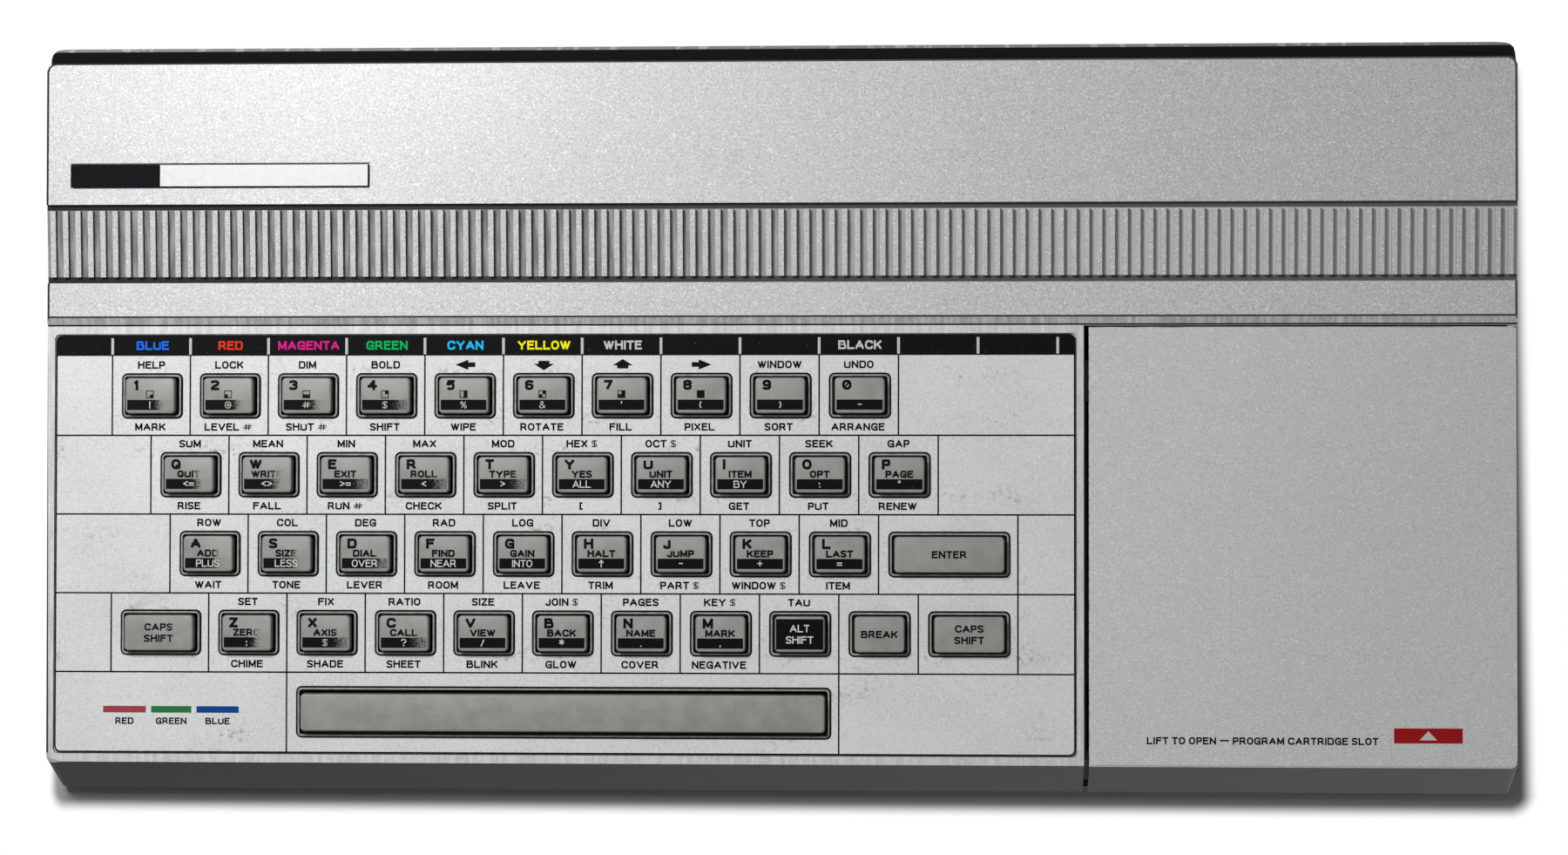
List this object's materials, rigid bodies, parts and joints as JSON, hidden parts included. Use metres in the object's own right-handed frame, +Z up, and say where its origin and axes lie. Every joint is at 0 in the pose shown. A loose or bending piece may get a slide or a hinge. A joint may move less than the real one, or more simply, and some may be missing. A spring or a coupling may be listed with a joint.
{
  "type": "vintage home computer",
  "caption": "Wedge-shaped home computer with chiclet keys in a printed plate, a ribbed vent strip and a hinged cover over a cartridge bay.",
  "frame": {"origin": "centre of the footprint, on the surface that the feet rest on", "axes": "+X to the right along the key rows, +Y to the rear, +Z up"},
  "size_m": [0.375, 0.188, 0.0447],
  "materials": {
    "silver_case": "dark plastic with a satin silver paint on its upper faces",
    "dark_case": "bare dark grey plastic",
    "printed_plate": "thin silver plate with printing",
    "key_plastic": "satin grey",
    "rim_plastic": "satin grey",
    "mat_rubber": "dull",
    "plate_steel": "plain sheet",
    "circuit_board": "green lacquered board",
    "tinned_can": "tinned sheet",
    "heatsink_alloy": "plain extrusion",
    "black_plastic": "black moulding",
    "pin_steel": "drawn rod",
    "port_steel": "plated sheet",
    "badge_alloy": "bright plate"
  },
  "bodies": {
    "case": {"bottom_shell": "dark_case", "cartridge_connector": "black_plastic", "heatsink": "heatsink_alloy", "hinge_pin": "pin_steel", "jack_block": "black_plastic", "joystick_port_left": "port_steel", "joystick_port_right": "port_steel", "key_frame": "rim_plastic", "keyboard_backplate": "plate_steel", "keyboard_overlay": "printed_plate", "main_board": "circuit_board", "nameplate": "badge_alloy", "rf_modulator": "tinned_can", "rubber_mat": "mat_rubber", "top_shell": "silver_case"},
    "key_1": {"key_1": "key_plastic"},
    "key_2": {"key_2": "key_plastic"},
    "key_3": {"key_3": "key_plastic"},
    "key_4": {"key_4": "key_plastic"},
    "key_5": {"key_5": "key_plastic"},
    "key_6": {"key_6": "key_plastic"},
    "key_7": {"key_7": "key_plastic"},
    "key_8": {"key_8": "key_plastic"},
    "key_9": {"key_9": "key_plastic"},
    "key_0": {"key_0": "key_plastic"},
    "key_q": {"key_q": "key_plastic"},
    "key_w": {"key_w": "key_plastic"},
    "key_e": {"key_e": "key_plastic"},
    "key_r": {"key_r": "key_plastic"},
    "key_t": {"key_t": "key_plastic"},
    "key_y": {"key_y": "key_plastic"},
    "key_u": {"key_u": "key_plastic"},
    "key_i": {"key_i": "key_plastic"},
    "key_o": {"key_o": "key_plastic"},
    "key_p": {"key_p": "key_plastic"},
    "key_a": {"key_a": "key_plastic"},
    "key_s": {"key_s": "key_plastic"},
    "key_d": {"key_d": "key_plastic"},
    "key_f": {"key_f": "key_plastic"},
    "key_g": {"key_g": "key_plastic"},
    "key_h": {"key_h": "key_plastic"},
    "key_j": {"key_j": "key_plastic"},
    "key_k": {"key_k": "key_plastic"},
    "key_l": {"key_l": "key_plastic"},
    "key_enter": {"key_enter": "key_plastic"},
    "key_shift_left": {"key_shift_left": "key_plastic"},
    "key_z": {"key_z": "key_plastic"},
    "key_x": {"key_x": "key_plastic"},
    "key_c": {"key_c": "key_plastic"},
    "key_v": {"key_v": "key_plastic"},
    "key_b": {"key_b": "key_plastic"},
    "key_n": {"key_n": "key_plastic"},
    "key_m": {"key_m": "key_plastic"},
    "key_symbol_shift": {"key_symbol_shift": "key_plastic"},
    "key_break": {"key_break": "key_plastic"},
    "key_shift_right": {"key_shift_right": "key_plastic"},
    "key_space": {"key_space": "key_plastic"},
    "cartridge_door": {"cartridge_door": "silver_case"},
    "power_switch": {"power_switch": "black_plastic"},
    "channel_switch": {"channel_switch": "black_plastic"}
  },
  "joints": [
    {"name": "press_1", "type": "slide", "parent": "case", "child": "key_1", "axis": [0, 0.1132, -0.9936], "range_m": [0, 0.002], "stiffness_N_per_m": 300, "springref_m": -0.001},
    {"name": "press_2", "type": "slide", "parent": "case", "child": "key_2", "axis": [0, 0.1132, -0.9936], "range_m": [0, 0.002], "stiffness_N_per_m": 300, "springref_m": -0.001},
    {"name": "press_3", "type": "slide", "parent": "case", "child": "key_3", "axis": [0, 0.1132, -0.9936], "range_m": [0, 0.002], "stiffness_N_per_m": 300, "springref_m": -0.001},
    {"name": "press_4", "type": "slide", "parent": "case", "child": "key_4", "axis": [0, 0.1132, -0.9936], "range_m": [0, 0.002], "stiffness_N_per_m": 300, "springref_m": -0.001},
    {"name": "press_5", "type": "slide", "parent": "case", "child": "key_5", "axis": [0, 0.1132, -0.9936], "range_m": [0, 0.002], "stiffness_N_per_m": 300, "springref_m": -0.001},
    {"name": "press_6", "type": "slide", "parent": "case", "child": "key_6", "axis": [0, 0.1132, -0.9936], "range_m": [0, 0.002], "stiffness_N_per_m": 300, "springref_m": -0.001},
    {"name": "press_7", "type": "slide", "parent": "case", "child": "key_7", "axis": [0, 0.1132, -0.9936], "range_m": [0, 0.002], "stiffness_N_per_m": 300, "springref_m": -0.001},
    {"name": "press_8", "type": "slide", "parent": "case", "child": "key_8", "axis": [0, 0.1132, -0.9936], "range_m": [0, 0.002], "stiffness_N_per_m": 300, "springref_m": -0.001},
    {"name": "press_9", "type": "slide", "parent": "case", "child": "key_9", "axis": [0, 0.1132, -0.9936], "range_m": [0, 0.002], "stiffness_N_per_m": 300, "springref_m": -0.001},
    {"name": "press_0", "type": "slide", "parent": "case", "child": "key_0", "axis": [0, 0.1132, -0.9936], "range_m": [0, 0.002], "stiffness_N_per_m": 300, "springref_m": -0.001},
    {"name": "press_q", "type": "slide", "parent": "case", "child": "key_q", "axis": [0, 0.1132, -0.9936], "range_m": [0, 0.002], "stiffness_N_per_m": 300, "springref_m": -0.001},
    {"name": "press_w", "type": "slide", "parent": "case", "child": "key_w", "axis": [0, 0.1132, -0.9936], "range_m": [0, 0.002], "stiffness_N_per_m": 300, "springref_m": -0.001},
    {"name": "press_e", "type": "slide", "parent": "case", "child": "key_e", "axis": [0, 0.1132, -0.9936], "range_m": [0, 0.002], "stiffness_N_per_m": 300, "springref_m": -0.001},
    {"name": "press_r", "type": "slide", "parent": "case", "child": "key_r", "axis": [0, 0.1132, -0.9936], "range_m": [0, 0.002], "stiffness_N_per_m": 300, "springref_m": -0.001},
    {"name": "press_t", "type": "slide", "parent": "case", "child": "key_t", "axis": [0, 0.1132, -0.9936], "range_m": [0, 0.002], "stiffness_N_per_m": 300, "springref_m": -0.001},
    {"name": "press_y", "type": "slide", "parent": "case", "child": "key_y", "axis": [0, 0.1132, -0.9936], "range_m": [0, 0.002], "stiffness_N_per_m": 300, "springref_m": -0.001},
    {"name": "press_u", "type": "slide", "parent": "case", "child": "key_u", "axis": [0, 0.1132, -0.9936], "range_m": [0, 0.002], "stiffness_N_per_m": 300, "springref_m": -0.001},
    {"name": "press_i", "type": "slide", "parent": "case", "child": "key_i", "axis": [0, 0.1132, -0.9936], "range_m": [0, 0.002], "stiffness_N_per_m": 300, "springref_m": -0.001},
    {"name": "press_o", "type": "slide", "parent": "case", "child": "key_o", "axis": [0, 0.1132, -0.9936], "range_m": [0, 0.002], "stiffness_N_per_m": 300, "springref_m": -0.001},
    {"name": "press_p", "type": "slide", "parent": "case", "child": "key_p", "axis": [0, 0.1132, -0.9936], "range_m": [0, 0.002], "stiffness_N_per_m": 300, "springref_m": -0.001},
    {"name": "press_a", "type": "slide", "parent": "case", "child": "key_a", "axis": [0, 0.1132, -0.9936], "range_m": [0, 0.002], "stiffness_N_per_m": 300, "springref_m": -0.001},
    {"name": "press_s", "type": "slide", "parent": "case", "child": "key_s", "axis": [0, 0.1132, -0.9936], "range_m": [0, 0.002], "stiffness_N_per_m": 300, "springref_m": -0.001},
    {"name": "press_d", "type": "slide", "parent": "case", "child": "key_d", "axis": [0, 0.1132, -0.9936], "range_m": [0, 0.002], "stiffness_N_per_m": 300, "springref_m": -0.001},
    {"name": "press_f", "type": "slide", "parent": "case", "child": "key_f", "axis": [0, 0.1132, -0.9936], "range_m": [0, 0.002], "stiffness_N_per_m": 300, "springref_m": -0.001},
    {"name": "press_g", "type": "slide", "parent": "case", "child": "key_g", "axis": [0, 0.1132, -0.9936], "range_m": [0, 0.002], "stiffness_N_per_m": 300, "springref_m": -0.001},
    {"name": "press_h", "type": "slide", "parent": "case", "child": "key_h", "axis": [0, 0.1132, -0.9936], "range_m": [0, 0.002], "stiffness_N_per_m": 300, "springref_m": -0.001},
    {"name": "press_j", "type": "slide", "parent": "case", "child": "key_j", "axis": [0, 0.1132, -0.9936], "range_m": [0, 0.002], "stiffness_N_per_m": 300, "springref_m": -0.001},
    {"name": "press_k", "type": "slide", "parent": "case", "child": "key_k", "axis": [0, 0.1132, -0.9936], "range_m": [0, 0.002], "stiffness_N_per_m": 300, "springref_m": -0.001},
    {"name": "press_l", "type": "slide", "parent": "case", "child": "key_l", "axis": [0, 0.1132, -0.9936], "range_m": [0, 0.002], "stiffness_N_per_m": 300, "springref_m": -0.001},
    {"name": "press_enter", "type": "slide", "parent": "case", "child": "key_enter", "axis": [0, 0.1132, -0.9936], "range_m": [0, 0.002], "stiffness_N_per_m": 300, "springref_m": -0.001},
    {"name": "press_shift_left", "type": "slide", "parent": "case", "child": "key_shift_left", "axis": [0, 0.1132, -0.9936], "range_m": [0, 0.002], "stiffness_N_per_m": 300, "springref_m": -0.001},
    {"name": "press_z", "type": "slide", "parent": "case", "child": "key_z", "axis": [0, 0.1132, -0.9936], "range_m": [0, 0.002], "stiffness_N_per_m": 300, "springref_m": -0.001},
    {"name": "press_x", "type": "slide", "parent": "case", "child": "key_x", "axis": [0, 0.1132, -0.9936], "range_m": [0, 0.002], "stiffness_N_per_m": 300, "springref_m": -0.001},
    {"name": "press_c", "type": "slide", "parent": "case", "child": "key_c", "axis": [0, 0.1132, -0.9936], "range_m": [0, 0.002], "stiffness_N_per_m": 300, "springref_m": -0.001},
    {"name": "press_v", "type": "slide", "parent": "case", "child": "key_v", "axis": [0, 0.1132, -0.9936], "range_m": [0, 0.002], "stiffness_N_per_m": 300, "springref_m": -0.001},
    {"name": "press_b", "type": "slide", "parent": "case", "child": "key_b", "axis": [0, 0.1132, -0.9936], "range_m": [0, 0.002], "stiffness_N_per_m": 300, "springref_m": -0.001},
    {"name": "press_n", "type": "slide", "parent": "case", "child": "key_n", "axis": [0, 0.1132, -0.9936], "range_m": [0, 0.002], "stiffness_N_per_m": 300, "springref_m": -0.001},
    {"name": "press_m", "type": "slide", "parent": "case", "child": "key_m", "axis": [0, 0.1132, -0.9936], "range_m": [0, 0.002], "stiffness_N_per_m": 300, "springref_m": -0.001},
    {"name": "press_symbol_shift", "type": "slide", "parent": "case", "child": "key_symbol_shift", "axis": [0, 0.1132, -0.9936], "range_m": [0, 0.002], "stiffness_N_per_m": 300, "springref_m": -0.001},
    {"name": "press_break", "type": "slide", "parent": "case", "child": "key_break", "axis": [0, 0.1132, -0.9936], "range_m": [0, 0.002], "stiffness_N_per_m": 300, "springref_m": -0.001},
    {"name": "press_shift_right", "type": "slide", "parent": "case", "child": "key_shift_right", "axis": [0, 0.1132, -0.9936], "range_m": [0, 0.002], "stiffness_N_per_m": 300, "springref_m": -0.001},
    {"name": "press_space", "type": "slide", "parent": "case", "child": "key_space", "axis": [0, 0.1132, -0.9936], "range_m": [0, 0.002], "stiffness_N_per_m": 300, "springref_m": -0.001},
    {"name": "cover_hinge", "type": "hinge", "parent": "case", "child": "cartridge_door", "pos_m": [0, 0.01909, 0.03052], "axis": [-1, 0, 0], "range_deg": [0, 96]},
    {"name": "power_rocker", "type": "hinge", "parent": "case", "child": "power_switch", "pos_m": [0.18227, 0.07373, 0.0245], "axis": [0, 0, 1], "range_deg": [0, 16]},
    {"name": "channel_slide", "type": "slide", "parent": "case", "child": "channel_switch", "axis": [1, 0, 0], "range_m": [0, 0.0045]}
  ]
}
